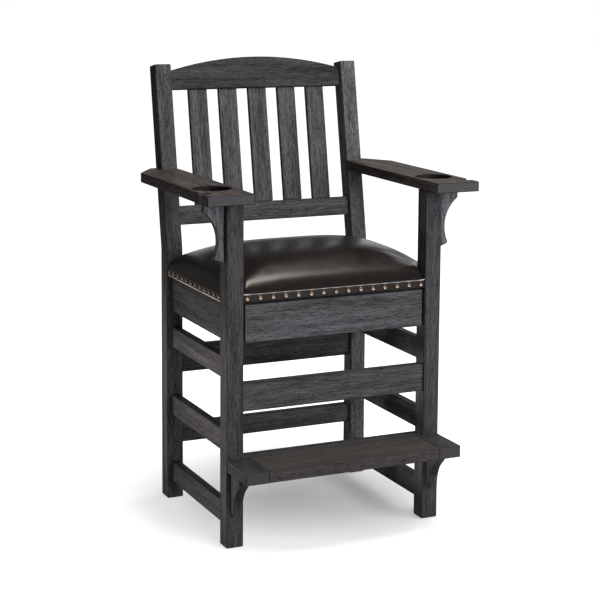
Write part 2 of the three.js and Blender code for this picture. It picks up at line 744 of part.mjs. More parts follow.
const cushionPoints = [...rings.flat(), [0, seatMiddleY, 0], [0, seatMiddleY, crownHeight(0, seatMiddleY)]];
const cushionFaces = [];
for (let k = 0; k < ringSize; k += 1) {
  const next = (k + 1) % ringSize;
  cushionFaces.push(underPole, next, k);
  for (let ring = 0; ring < rings.length - 1; ring += 1) {
    const [low, high] = [ring * ringSize, (ring + 1) * ringSize];
    cushionFaces.push(low + k, low + next, high + next, low + k, high + next, high + k);
  }
  const top = (rings.length - 1) * ringSize;
  cushionFaces.push(top + k, top + next, underPole + 1);
}
const cushion = new THREE.BufferGeometry();
cushion.setAttribute('position', new THREE.Float32BufferAttribute(cushionPoints.flat(), 3));
cushion.setIndex(cushionFaces);
add('seat_cushion', cushion, 'leather', 0, 0, deckTop + jointGap);

// Drawer: a front that closes between the posts, and a box whose bottom panel slides in grooves.
const drawer = new THREE.Group();
drawer.position.set(0, frontRecess, apronBottom);
chair.add(drawer);
const drawerFrontHeight = deckUnderside - drawerTopGap - apronBottom;
const drawerFrontWidth = 2 * (postInner - drawerFrontGap);
const boxOuter = postInner - drawerSideGap;
const boxInner = boxOuter - drawerSideThickness;
const panelBottom = drawerSideLift + drawerGrooveLift;
const panelTop = panelBottom + drawerBottomThickness;
const boxStart = drawerFrontThickness + jointGap;
const boxEnd = rearFace - blockReach - drawerRearGap - frontRecess;
const boxDepth = boxEnd - boxStart;
const grooveCut = block(
  {
    x: 2 * (boxInner + drawerGrooveDepth),
    y: 2 * (drawerGrooveDepth + jointGap),
    z: drawerBottomThickness + 2 * jointGap,
  },
  { x: 0, y: drawerFrontThickness, z: (panelBottom + panelTop) / 2 },
);
const drawerFront = cut(
  plank({ x: drawerFrontWidth, y: drawerFrontThickness, z: drawerFrontHeight }, 'x', railEase)
    .translate(0, drawerFrontThickness / 2, drawerFrontHeight / 2),
  grooveCut,
);
add('drawer_front', drawerFront, 'blackWood', 0, 0, 0, drawer);
const sideTop = deckUnderside - drawerDeckGap - apronBottom;
const grooveFloor = boxInner + drawerGrooveDepth;
const sideShape = outline([
  [boxInner, drawerSideLift], [boxOuter, drawerSideLift], [boxOuter, sideTop], [boxInner, sideTop],
  [boxInner, panelTop + jointGap], [grooveFloor, panelTop + jointGap],
  [grooveFloor, panelBottom - jointGap], [boxInner, panelBottom - jointGap],
]);
const drawerSide = extruded(sideShape, boxDepth, 0, cornerSteps, 'y');
const boxMiddleY = (boxStart + boxEnd) / 2;
add('drawer_side_right', drawerSide, 'drawerWood', 0, boxMiddleY, 0, drawer);
add('drawer_side_left', mirrored(drawerSide), 'drawerWood', 0, boxMiddleY, 0, drawer);
const backHeight = sideTop - panelTop - jointGap;
const drawerBack = plank(
  { x: 2 * (boxInner - jointGap), y: drawerSideThickness, z: backHeight }, 'x', jointGap,
);
add(
  'drawer_back', drawerBack, 'drawerWood',
  0, boxEnd - drawerSideThickness / 2, sideTop - backHeight / 2, drawer,
);
const panelStart = drawerFrontThickness - drawerGrooveDepth;
const drawerBottom = new THREE.BoxGeometry(
  2 * (grooveFloor - jointGap), boxEnd - panelStart, drawerBottomThickness,
);
add(
  'drawer_bottom', drawerBottom, 'plywood',
  0, (boxEnd + panelStart) / 2, (panelBottom + panelTop) / 2, drawer,
);

// Runners: an L-shaped strip on each side apron that carries and guides the drawer.
const shelfTop = apronBottom + drawerSideLift - jointGap;
const shelfInner = boxInner - runnerShelfInset;
const runnerWall = railInner - jointGap;
const runnerShape = outline([
  [shelfInner, shelfTop - runnerShelfThickness], [runnerWall, shelfTop - runnerShelfThickness],
  [runnerWall, shelfTop + runnerGuideHeight], [boxOuter + runnerGuideGap, shelfTop + runnerGuideHeight],
  [boxOuter + runnerGuideGap, shelfTop], [shelfInner, shelfTop],
]);
const runner = extruded(runnerShape, railSpan, 0, cornerSteps, 'y').translate(-runnerWall, 0, -shelfTop);
addPair('drawer_runner', runner, 'drawerWood', runnerWall, sideRailY, shelfTop);

// Corner blocks: glued across the rear corners under the deck, round the inner corner of each rear post.
const blockShape = outline([
  [railInner - jointGap, rearFace - blockReach], [railInner - jointGap, rearFace - jointGap],
  [postInner - jointGap, rearFace - jointGap], [postInner - jointGap, rearRailFront - jointGap],
  [postInner - blockReach, rearRailFront - jointGap],
]);
const cornerBlock = extruded(blockShape, blockHeight, 0, cornerSteps).translate(-postInner, -rearFace, 0);
addPair(
  'corner_block', cornerBlock, 'drawerWood',
  postInner, rearFace, deckUnderside - blockDrop - blockHeight / 2,
);

// The origin goes under the middle of the whole chair.
const extents = new THREE.Box3().setFromObject(chair);
chair.position.y = -extents.getCenter(new THREE.Vector3()).y;

export default chair;
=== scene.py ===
import math
import random

import bmesh
import bpy
import numpy as np
from mathutils import Euler, Matrix, Vector


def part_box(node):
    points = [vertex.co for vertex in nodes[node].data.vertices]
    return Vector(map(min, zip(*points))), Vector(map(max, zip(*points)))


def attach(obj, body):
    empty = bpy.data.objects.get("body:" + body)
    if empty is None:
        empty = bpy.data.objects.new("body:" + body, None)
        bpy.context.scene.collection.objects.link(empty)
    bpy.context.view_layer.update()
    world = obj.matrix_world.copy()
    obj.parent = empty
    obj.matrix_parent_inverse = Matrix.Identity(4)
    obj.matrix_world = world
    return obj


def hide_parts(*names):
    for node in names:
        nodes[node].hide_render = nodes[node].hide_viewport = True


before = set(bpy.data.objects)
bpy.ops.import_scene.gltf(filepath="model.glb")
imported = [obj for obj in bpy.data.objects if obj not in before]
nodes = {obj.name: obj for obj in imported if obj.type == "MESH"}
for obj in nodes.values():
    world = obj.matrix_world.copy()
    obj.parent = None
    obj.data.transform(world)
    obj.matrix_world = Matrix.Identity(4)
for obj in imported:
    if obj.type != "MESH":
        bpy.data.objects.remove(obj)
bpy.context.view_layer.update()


# Posts
# Four square posts of oak. The black stain lies dark in its open pores and a little lighter on the ridges
# between them, under a thin satin lacquer. Each rear post is sawn from one wide board, so its grain runs
# straight through the bend.
def linear(hex_code):
    """RGBA in linear light from an sRGB hex value."""
    shares = [int(hex_code[i:i + 2], 16) / 255 for i in (1, 3, 5)]
    return (*[s / 12.92 if s <= 0.04045 else ((s + 0.055) / 1.055) ** 2.4 for s in shares], 1.0)


def add(tree, kind, inputs=None, **settings):
    """A new node with its settings. Each input is given a value, or the socket that feeds it."""
    node = tree.nodes.new(kind)
    for name, value in settings.items():
        setattr(node, name, value)
    for name, value in (inputs or {}).items():
        if isinstance(value, bpy.types.NodeSocket):
            tree.links.new(value, node.inputs[name])
        else:
            node.inputs[name].default_value = value
    return node


def new_material(name):
    """A material with an empty node tree, and that tree."""
    material = bpy.data.materials.new(name)
    material.use_nodes = True
    material.node_tree.nodes.clear()
    return material, material.node_tree


# Turns that bring a piece's grain onto X. The back leans by 10.2 degrees, and half-way up a sawn post the
# grain is 4 degrees off it.
ALONG_X = (0, 0, 0)
ALONG_Y = (0, 0, math.radians(-90))
ALONG_Z = (0, math.radians(90), 0)
ALONG_RAKE = (math.radians(10.2), math.radians(90), 0)
ALONG_SAWN = (math.radians(4), math.radians(90), 0)
boards = random.Random(4)


def stained_wood(name, grain, tone_and_light=1, dark="#1b1b1b", light="#4e4e51", pore="#0b0b0c",
                 end_grain="#3f3f41", recess=None, wood="black-stained oak"):
    """Open-grain wood, stained, wiped and lacquered, so it is dull and streaked with dark open pores. Every
    board is cut from its own place in the pattern. How light it is painted is partly how light the stain came
    out on it and partly painted light and shade for how brightly it is lit. A round recess, given by its
    centre and radius, is painted dark as shade."""
    material, tree = new_material(f"{wood}, {name}")
    place = add(tree, "ShaderNodeTexCoord")
    cut = [boards.uniform(-9, 9) for _ in range(3)]
    board = add(tree, "ShaderNodeMapping", {
        "Vector": place.outputs["Object"], "Rotation": grain, "Location": cut})
    # Broad figure: growth rings about 20 mm apart where the board meets them, 300 mm long
    wide = add(tree, "ShaderNodeMapping", {"Vector": board.outputs[0], "Scale": (3.3, 52, 52)})
    figure = add(tree, "ShaderNodeTexNoise", {
        "Vector": wide.outputs[0], "Scale": 1, "Detail": 3, "Roughness": 0.55})
    # Fibre ridges 2 mm wide and 45 mm long, drawn a little coarse so that they show
    narrow = add(tree, "ShaderNodeMapping", {"Vector": board.outputs[0], "Scale": (22, 480, 480)})
    fibre = add(tree, "ShaderNodeTexNoise", {
        "Vector": narrow.outputs[0], "Scale": 1, "Detail": 4, "Roughness": 0.62})
    # Open pores: dark dashes 1.4 mm wide and 12 mm long, several times the real width so that they show
    short = add(tree, "ShaderNodeMapping", {"Vector": board.outputs[0], "Scale": (80, 720, 720)})
    dash = add(tree, "ShaderNodeTexNoise", {
        "Vector": short.outputs[0], "Scale": 1, "Detail": 1.5, "Roughness": 0.5})
    pores = add(tree, "ShaderNodeMapRange", {
        "Value": dash.outputs[0], "From Min": 0.54, "From Max": 0.68, "To Min": 0, "To Max": 0.8})
    ridge = add(tree, "ShaderNodeMapRange", {
        "Value": fibre.outputs[0], "From Min": 0.36, "From Max": 0.66, "To Min": 0, "To Max": 1})
    ring = add(tree, "ShaderNodeMapRange", {
        "Value": figure.outputs[0], "From Min": 0.36, "From Max": 0.66, "To Min": 0, "To Max": 1})
    tone = add(tree, "ShaderNodeMix", {
        "Factor": 0.4, "A": ridge.outputs[0], "B": ring.outputs[0]}, data_type="FLOAT")
    # The eased edges, whose faces lean away from every side of the board, are painted darker
    side = add(tree, "ShaderNodeVectorMath", {0: place.outputs["Normal"]}, operation="ABSOLUTE")
    side = add(tree, "ShaderNodeSeparateXYZ", {0: side.outputs[0]})
    flat = add(tree, "ShaderNodeMath", {0: side.outputs[0], 1: side.outputs[1]}, operation="MAXIMUM")
    flat = add(tree, "ShaderNodeMath", {0: flat.outputs[0], 1: side.outputs[2]}, operation="MAXIMUM")
    edge = add(tree, "ShaderNodeMapRange", {
        "Value": flat.outputs[0], "From Min": 0.94, "From Max": 0.97, "To Min": 0.35, "To Max": 1})
    shade = add(tree, "ShaderNodeMath", {0: tone.outputs[0], 1: edge.outputs[0]}, operation="MULTIPLY")
    # Sanded end grain is an even, lighter grey
    leaning = add(tree, "ShaderNodeMapping", {"Vector": place.outputs["Normal"], "Rotation": grain})
    leaning = add(tree, "ShaderNodeSeparateXYZ", {0: leaning.outputs[0]})
    leaning = add(tree, "ShaderNodeMath", {0: leaning.outputs[0]}, operation="ABSOLUTE")
    end = add(tree, "ShaderNodeMapRange", {
        "Value": leaning.outputs[0], "From Min": 0.9, "From Max": 0.98, "To Min": 0, "To Max": 1})
    # A Mix node's colour sockets share their names with its float sockets, so they are set by place.
    deep, pale, sawn = [
        (*[part * tone_and_light for part in linear(code)[:3]], 1) for code in (dark, light, end_grain)]
    stain = add(tree, "ShaderNodeMix", {0: shade.outputs[0], 6: deep, 7: pale}, data_type="RGBA")
    stain = add(tree, "ShaderNodeMix", {0: end.outputs[0], 6: stain.outputs[2], 7: sawn}, data_type="RGBA")
    filled = add(tree, "ShaderNodeMix", {
        0: pores.outputs[0], 6: stain.outputs[2], 7: linear(pore)}, data_type="RGBA")
    if recess:
        x, y, radius = recess
        flattened = add(tree, "ShaderNodeVectorMath", {
            0: place.outputs["Object"], 1: (1, 1, 0)}, operation="MULTIPLY")
        near = add(tree, "ShaderNodeVectorMath", {
            0: flattened.outputs[0], 1: (x, y, 0)}, operation="DISTANCE")
        # The recess is painted dark with the pore colour: painted shade
        recess_shade = add(tree, "ShaderNodeMath", {0: near.outputs["Value"], 1: radius}, operation="LESS_THAN")
        recess_shade = add(tree, "ShaderNodeMath", {0: recess_shade.outputs[0], 1: 0.7}, operation="MULTIPLY")
        filled = add(tree, "ShaderNodeMix", {
            0: recess_shade.outputs[0], 6: filled.outputs[2], 7: linear(pore)}, data_type="RGBA")
    sheen = add(tree, "ShaderNodeMapRange", {
        "Value": tone.outputs[0], "From Min": 0, "From Max": 1, "To Min": 0.68, "To Max": 0.56})
    relief = add(tree, "ShaderNodeMath", {0: ridge.outputs[0], 1: 0.35}, operation="MULTIPLY")
    relief = add(tree, "ShaderNodeMath", {0: relief.outputs[0], 1: pores.outputs[0]}, operation="SUBTRACT")
    # Pores 0.5 mm deep. The wiped lacquer is so thin that little of it shines.
    bump = add(tree, "ShaderNodeBump", {"Height": relief.outputs[0], "Strength": 0.5, "Distance": 0.0005})
    shader = add(tree, "ShaderNodeBsdfPrincipled", {
        "Base Color": filled.outputs[2], "Roughness": sheen.outputs[0], "Normal": bump.outputs[0],
        "IOR": 1.45, "Specular IOR Level": 0.12})
    add(tree, "ShaderNodeOutputMaterial", {"Surface": shader.outputs[0]})
    return material


def finish_node(name, material):
    """Gives a CAD piece its material in every slot."""
    mesh = nodes[name].data
    if not mesh.materials:
        mesh.materials.append(material)
    for i in range(len(mesh.materials)):
        mesh.materials[i] = material


# Each piece is painted lighter or darker by its factor: partly its stain's own take, partly painted light and
# shade for how brightly it is lit.
for side, rear_tone_and_light in (("left", 1.25), ("right", 1.65)):
    finish_node(f"front_post_{side}", stained_wood(f"front post {side}", ALONG_Z, 0.9, dark="#222122"))
    finish_node(f"rear_post_{side}", stained_wood(f"rear post {side}", ALONG_SAWN, rear_tone_and_light))


# Rails and stretchers
# Straight rails of the posts' stained oak, with eased edges painted darker. Each is tenoned into two posts
# and glued, and its grain runs along it.
# Each factor paints the piece lighter or darker: partly its stain, partly painted light and shade.
for name, tone_and_light in (
    ("front_stretcher", 1.12), ("rear_stretcher_upper", 1.1), ("rear_stretcher_lower", 1.25),
    ("rear_apron", 0.9), ("footrest_rail", 0.9),
):
    finish_node(name, stained_wood(name.replace("_", " "), ALONG_X, tone_and_light))
for side in ("left", "right"):
    for name, tone_and_light in (
        ("side_apron", 0.82), ("side_stretcher_upper", 1.05), ("side_stretcher_middle", 0.75),
        ("side_stretcher_lower", 0.84),
    ):
        finish_node(f"{name}_{side}", stained_wood(f"{name} {side}".replace("_", " "), ALONG_Y, tone_and_light))


# Back
# An arched crest rail and a lower rail between the rear posts, with five flat slats tenoned into both. All
# are stained oak, with upright grain in the slats. The crest rail's middle is plain.
# Each factor paints the piece lighter or darker: partly its stain, partly painted light and shade.
finish_node("crest_rail", stained_wood("crest rail", ALONG_X, 0.72))
finish_node("lower_back_rail", stained_wood("lower back rail", ALONG_X, 1.3))
for i, tone_and_light in enumerate((1.28, 1.52, 1.26, 1.3, 1.33), 1):
    finish_node(f"back_slat_{i}", stained_wood(f"back slat {i}", ALONG_RAKE, tone_and_light))


# Arms and corbels
# Flat oak boards with a turned cup recess and a cue notch, on sawn corbels glued to the front posts. The arms
# are painted a little browner than the frame, painted warm light on their tops, and the cup recess is painted
# dark as painted shade.
cup_radius = 0.0495
cup_y = 0.071 - 0.223144  # behind the front posts' face, which is at -0.223144
cup_x = (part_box("arm_right")[0].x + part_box("arm_right")[1].x) / 2
eased_rim = 0.0006
for side, arm_tone_and_light, corbel_tone_and_light in (("left", 1.06, 2.2), ("right", 0.98, 1.9)):
    recess = (cup_x if side == "right" else -cup_x, cup_y, cup_radius + eased_rim)
    # The arms' browner stain is painted warm light on their tops.
    oak = stained_wood(
        f"arm {side}", ALONG_Y, arm_tone_and_light, dark="#151211", light="#575250", recess=recess)
    finish_node(f"arm_{side}", oak)
    finish_node(f"arm_corbel_{side}", stained_wood(f"arm corbel {side}", ALONG_Z, corbel_tone_and_light))


# Footrest
# An oak board tongued into breadboard ends, whose grain runs across its own, on two brackets screwed to the
# posts. Shoes have rubbed the board smoother than the frame, and it is painted a little browner, painted warm
# light on its top.
board_tone_and_warm_light = {"dark": "#292625", "light": "#464342"}
finish_node("footrest_board", stained_wood("footrest board", ALONG_X, 1.02, **board_tone_and_warm_light))
for side in ("left", "right"):
    oak = stained_wood(f"footrest end {side}", ALONG_Y, 0.68, end_grain="#464446")
    finish_node(f"footrest_end_{side}", oak)
    finish_node(f"footrest_bracket_{side}", stained_wood(f"footrest bracket {side}", ALONG_Z, 0.86))


# Seat deck
# A plywood board screwed down on the aprons. It is painted a dull black as painted shade, so that the joint
# over the drawer shows dark.
shade_black, tree = new_material("plywood painted black as shade")
place = add(tree, "ShaderNodeTexCoord").outputs["Object"]
# Brush strokes 2.5 mm wide and 40 mm long
brushed = add(tree, "ShaderNodeMapping", {"Vector": place, "Scale": (25, 400, 400)})
strokes = add(tree, "ShaderNodeTexNoise", {"Vector": brushed.outputs[0], "Scale": 1, "Detail": 3})
cover = add(tree, "ShaderNodeMix", {
    0: strokes.outputs[0], 6: linear("#0a0a0a"), 7: linear("#171717")}, data_type="RGBA")
shader = add(tree, "ShaderNodeBsdfPrincipled", {"Base Color": cover.outputs[2], "Roughness": 0.85})
add(tree, "ShaderNodeOutputMaterial", {"Surface": shader.outputs[0]})
finish_node("seat_deck", shade_black)


# Seat cushion
# Foam under one hide of smooth upholstery leather, dyed a brown near black and lightly polished. The hide is
# drawn tight over a crowned top, tacked under the nailed band and cut round the posts at its corners.
seat_low, seat_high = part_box("seat_cushion")
half_width = seat_high.x
half_depth = (seat_high.y - seat_low.y) / 2
middle_y = (seat_high.y + seat_low.y) / 2
post_gap = 0.0015
notch_x = -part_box("front_post_left")[1].x - post_gap
front_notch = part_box("front_post_left")[1].y + post_gap
rear_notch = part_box("rear_post_left")[0].y - post_gap
edge_height = 0.026
edge_run = 0.024  # over which the top turns down to the band
notch_run = 0.009  # and to the posts
crown_height = 0.0595


def seat_top(x, y):
    """Height of the seat's top over the deck: an edge that turns over round the notched plan, and a crown."""
    x = min(abs(x), half_width)
    from_end = half_depth - min(abs(y - middle_y), half_depth)
    from_notch = math.hypot(max(notch_x - x, 0), max(min(y - front_notch, rear_notch - y), 0))
    gaps = ((half_width - x) / edge_run, from_end / edge_run, from_notch / notch_run)
    turns = [math.sqrt(1 - (1 - min(gap, 1)) ** 2) for gap in gaps]
    # A quarter of the edge stands upright and the rest turns over. The crown is full to the front and falls
    # away sooner to the rear.
    across = 1 - (x / half_width) ** 3.8
    along = 1 - (abs(y - middle_y) / half_depth) ** (3.6 if y < middle_y else 2.2)
    return edge_height * (0.25 + 0.75 * math.prod(turns)) + crown_height * across * max(along, 0)


def applied(piece):
    """The piece's mesh with its modifiers applied, in place of its own."""
    view = bpy.context.evaluated_depsgraph_get()
    mesh = bpy.data.meshes.new_from_object(piece.evaluated_get(view))
    piece.modifiers.clear()
    piece.data = mesh
    return mesh


def new_piece(name, shape, material):
    """An object from a bmesh, with one material."""
    mesh = bpy.data.meshes.new(name)
    shape.to_mesh(mesh)
    shape.free()
    mesh.materials.append(material)
    piece = bpy.data.objects.new(name, mesh)
    bpy.context.scene.collection.objects.link(piece)
    return piece


def leather(name):
    """Smooth dyed upholstery leather, which takes soft bright highlights: a fine pebble, a polish that is
    cloudy here and there and soft slack waves. Where a mesh marks it with an attribute, a pale painted
    highlight is laid over the dye."""
    material, tree = new_material(name)
    place = add(tree, "ShaderNodeTexCoord").outputs["Object"]
    # Pebble cells 1.6 mm across, about twice the real size so that they show
    pebble = add(tree, "ShaderNodeTexVoronoi", {"Vector": place, "Scale": 620, "Randomness": 1})
    # Polish worn unevenly in patches about 40 mm wide
    polish = add(tree, "ShaderNodeTexNoise", {"Vector": place, "Scale": 24, "Detail": 5, "Roughness": 0.6})
    # Slack in the hide: shallow waves about 70 mm apart
    slack = add(tree, "ShaderNodeTexNoise", {"Vector": place, "Scale": 13, "Detail": 2, "Roughness": 0.5})
    dye = add(tree, "ShaderNodeValToRGB", {"Fac": polish.outputs[0]})
    dye.color_ramp.elements[0].position = 0.35
    dye.color_ramp.elements[0].color = linear("#110f0e")
    dye.color_ramp.elements[1].position = 0.70
    dye.color_ramp.elements[1].color = linear("#171413")
    # A pale painted highlight where the mesh marks it
    painted_highlight = add(tree, "ShaderNodeAttribute", attribute_name="painted_highlight")
    face = add(tree, "ShaderNodeMix", {
        0: painted_highlight.outputs["Fac"], 6: dye.outputs[0], 7: linear("#a39f9b")}, data_type="RGBA")
    gloss = add(tree, "ShaderNodeMapRange", {
        "Value": polish.outputs[0], "From Min": 0.3, "From Max": 0.7, "To Min": 0.29, "To Max": 0.35})
    waves = add(tree, "ShaderNodeBump", {"Height": slack.outputs[0], "Strength": 0.12, "Distance": 0.008})
    grain = add(tree, "ShaderNodeBump", {
        "Height": pebble.outputs["Distance"], "Normal": waves.outputs[0], "Strength": 0.12,
        "Distance": 0.0004})
    shader = add(tree, "ShaderNodeBsdfPrincipled", {
        "Base Color": face.outputs[2], "Roughness": gloss.outputs[0], "Normal": grain.outputs[0],
        "IOR": 1.5})
    add(tree, "ShaderNodeOutputMaterial", {"Surface": shader.outputs[0]})
    return material


hide = leather("dyed upholstery leather")
shape = bmesh.new()
plan = [
    (-notch_x, seat_low.y), (notch_x, seat_low.y), (notch_x, front_notch), (half_width, front_notch),
    (half_width, rear_notch), (notch_x, rear_notch), (notch_x, seat_high.y), (-notch_x, seat_high.y),
    (-notch_x, rear_notch), (-half_width, rear_notch), (-half_width, front_notch), (-notch_x, front_notch),
]
base = shape.faces.new([shape.verts.new((x, y, seat_low.z)) for x, y in plan])
block_height = 0.06
top = bmesh.ops.extrude_face_region(shape, geom=[base])["geom"]
top = [v for v in top if isinstance(v, bmesh.types.BMVert)]
bmesh.ops.translate(shape, verts=top, vec=(0, 0, block_height))
bmesh.ops.recalc_face_normals(shape, faces=shape.faces)
cushion = new_piece("cushion", shape, hide)
remesh = cushion.modifiers.new("remesh", "REMESH")
remesh.mode = "VOXEL"
remesh.voxel_size = 0.006
remesh.use_smooth_shade = True
mesh = applied(cushion)
for v in mesh.vertices:
    share = max((v.co.z - seat_low.z) / block_height, 0)
    v.co.z = seat_low.z + share * seat_top(v.co.x, v.co.y)
# The foam presses the hide out, by no more than 3 mm
most = 0.003
tacked = 0.003  # height of the lowest strip, which the nails hold
start = np.array([v.co for v in mesh.vertices])
held = cushion.vertex_groups.new(name="held")
held.add([v.index for v in mesh.vertices if v.co.z < seat_low.z + tacked], 1, "REPLACE")
cloth = cushion.modifiers.new("cloth", "CLOTH")
cloth.settings.vertex_group_mass = "held"
cloth.settings.use_pressure = True
cloth.settings.uniform_pressure_force = 4
cloth.settings.effector_weights.gravity = 0
for frame_number in range(1, 21):
    bpy.context.scene.frame_set(frame_number)
mesh = applied(cushion)
bpy.context.scene.frame_set(1)
for v, place in zip(mesh.vertices, start):
    move = v.co - Vector(place)
    if move.length > most:
        v.co = Vector(place) + move * (most / move.length)
# It stays on the deck, clear of the posts and no more than 2 mm past its solid
bulge = 0.002
for v in mesh.vertices:
    v.co.z = max(v.co.z, seat_low.z)
    if abs(v.co.x) > notch_x and not front_notch < v.co.y < rear_notch:
        v.co.x = math.copysign(notch_x, v.co.x)
    v.co.x = max(-half_width - bulge, min(half_width + bulge, v.co.x))
ironed = cushion.modifiers.new("ironed", "SMOOTH")
ironed.factor = 0.5
ironed.iterations = 8
smoother = cushion.modifiers.new("subdivision", "SUBSURF")
smoother.levels = smoother.render_levels = 1
mesh.polygons.foreach_set("use_smooth", [True] * len(mesh.polygons))
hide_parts("seat_cushion")
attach(cushion, "chair")


# Seat bands and nails
# A strip of the same leather, folded over at its top edge and nailed round the edge of the deck with domed
# upholstery nails of cast brass. Their rims are painted dark, partly with age and partly as painted shade,
# and their domes bright, partly worn and partly a painted highlight. Each nail presses a dimple into the
# strip and pulls its rolled edge down a little.
nail_radius = 0.0059
nail_dome = 0.0028
nail_skirt = 0.001
nail_height = 0.0117
nail_lift = 0.0002
dome_stand = 0.0026  # of the CAD nails, whose tops bound the bands' boxes
strip_thickness = 0.002
fold_rise = 0.004  # of the folded edge over the CAD bands
fold_drop = 0.0022  # from the upper edge to the middle of the roll
fold_half = 0.0026  # half the roll's height
fold_stand = 0.0013
dimple_depth = 0.0008
dimple_width = 0.0065
dimple_height = 0.007
pull = 0.0018  # of each nail on the upper edge over it
tilts = random.Random(7)
brass, tree = new_material("aged cast brass")
wear_and_highlight = add(tree, "ShaderNodeAttribute", attribute_name="wear_and_highlight")
# Dark at the rim with age and painted shade, bright on the dome with wear and a painted highlight
tone = add(tree, "ShaderNodeValToRGB", {"Fac": wear_and_highlight.outputs["Fac"]})
tone.color_ramp.elements[0].position = 0.3
tone.color_ramp.elements[0].color = linear("#1a1410")
tone.color_ramp.elements[1].position = 0.68
tone.color_ramp.elements[1].color = linear("#e6c8b0")
shader = add(tree, "ShaderNodeBsdfPrincipled", {
    "Base Color": tone.outputs[0], "Roughness": 0.36, "Metallic": 1})
add(tree, "ShaderNodeOutputMaterial", {"Surface": shader.outputs[0]})


def seat_band(side, length, low, height, face, turn, count, margin):
    """One band and its nails, with the end nails a margin in from its ends. They are made lying along X and
    facing -Y, then turned about Z to their side. A pale painted highlight lies along the upper edge at the
    front and rear, and along the lower edge at the sides. At the front and rear the strip ends a little over
    the drawer."""
    pitch = (length - 2 * margin) / (count - 1)
    places = [(i - (count - 1) / 2) * pitch for i in range(count)]
    shape = bmesh.new()
    # Cells about 2.5 mm long, fine enough for the dimples
    bmesh.ops.create_grid(shape, x_segments=round(length / 0.0025), y_segments=14, size=0.5)
    bmesh.ops.scale(shape, verts=shape.verts, vec=(length, height, 1))
    bmesh.ops.rotate(shape, verts=shape.verts, matrix=Matrix.Rotation(math.radians(90), 3, "X"))
    painted_highlight = shape.verts.layers.float.new("painted_highlight")
    across = side in ("front", "rear")
    joint = 0.003
    for v in shape.verts:
        h = v.co.z + height / 2
        # A pale painted highlight, full within 1.8 mm of the edge and gone from 3 mm on
        highlight_share = (h - height + 0.003) / 0.0012 if across else (0.0028 - h) / 0.001
        v[painted_highlight] = max(0, min(1, highlight_share))
        press = sum(math.exp(-((v.co.x - x) / dimple_width) ** 2) for x in places)
        dimple = dimple_depth * press * math.exp(-((h - nail_height) / dimple_height) ** 2)
        roll = max(0, 1 - ((height - fold_drop - h) / fold_half) ** 2)
        v.co.y = dimple - fold_stand * math.sqrt(roll)
        v.co.z = low + max(h, joint if across else 0) - pull * press * max(0, h / height) ** 3
    bmesh.ops.remove_doubles(shape, verts=shape.verts, dist=0.0002)
    bmesh.ops.recalc_face_normals(shape, faces=shape.faces)
    if shape.faces[:][0].normal.y > 0:
        bmesh.ops.reverse_faces(shape, faces=shape.faces)
    bmesh.ops.solidify(shape, geom=shape.faces[:], thickness=strip_thickness)
    place = Matrix.Rotation(turn, 4, "Z") @ Matrix.Translation((0, face, 0))
    offset = Matrix.Translation((0, middle_y, 0)) if side in ("left", "right") else Matrix()
    bmesh.ops.transform(shape, matrix=offset @ place, verts=shape.verts)
    strip = new_piece(f"seat_band_strip_{side}", shape, hide)
    strip.data.polygons.foreach_set("use_smooth", [True] * len(strip.data.polygons))
    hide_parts(f"seat_band_{side}")
    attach(strip, "chair")
    shape = bmesh.new()
    wear_and_highlight = shape.verts.layers.float.new("wear_and_highlight")
    for x in places:
        dome = bmesh.new()
        rim = [dome.verts.new((nail_radius * math.cos(a), -nail_dome * math.sin(a), 0))
               for a in (math.radians(d) for d in (0, 15, 32, 50, 68, 84))]
        rim.insert(0, dome.verts.new((nail_radius, nail_skirt, 0)))
        edges = [dome.edges.new(pair) for pair in zip(rim, rim[1:])]
        bmesh.ops.spin(
            dome, geom=rim + edges, cent=(0, 0, 0), axis=(0, 1, 0), angle=math.tau, steps=20,
            use_merge=True, use_duplicate=False)
        bmesh.ops.holes_fill(dome, edges=dome.edges, sides=0)
        bmesh.ops.recalc_face_normals(dome, faces=dome.faces)
        # Driven by hand: about 3 degrees out of line and 0.3 mm out of place
        tilt = Euler((tilts.gauss(0, 0.05), 0, tilts.gauss(0, 0.05))).to_matrix().to_4x4()
        astray = (tilts.gauss(0, 0.0003), tilts.gauss(0, 0.0003))
        spot = Matrix.Translation((x + astray[0], -nail_lift, low + nail_height + astray[1]))
        layer = dome.verts.layers.float.new("wear_and_highlight")
        for v in dome.verts:
            v[layer] = max(0, -v.co.y / nail_dome)
        bmesh.ops.transform(dome, matrix=offset @ place @ spot @ tilt, verts=dome.verts)
        part = bpy.data.meshes.new("nail")
        dome.to_mesh(part)
        dome.free()
        shape.from_mesh(part)
        bpy.data.meshes.remove(part)
    nails = new_piece(f"seat_nails_{side}", shape, brass)
    nails.data.polygons.foreach_set("use_smooth", [True] * len(nails.data.polygons))
    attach(nails, "chair")


for side, turn, count, margin in (
    ("front", 0, 15, 0.0103), ("rear", math.pi, 15, 0.0103),
    ("left", -math.pi / 2, 12, 0.0133), ("right", math.pi / 2, 12, 0.0133),
):
    low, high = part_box(f"seat_band_{side}")
    size = high - low
    outside = {"front": -low.y, "rear": high.y, "left": -low.x, "right": high.x}[side]
    face = dome_stand - outside
    if side in ("front", "rear"):
        seat_band(side, size.x, low.z, size.z + fold_rise, face, turn, count, margin)
    else:
        seat_band(side, size.y, low.z, size.z, face, turn, count, margin)


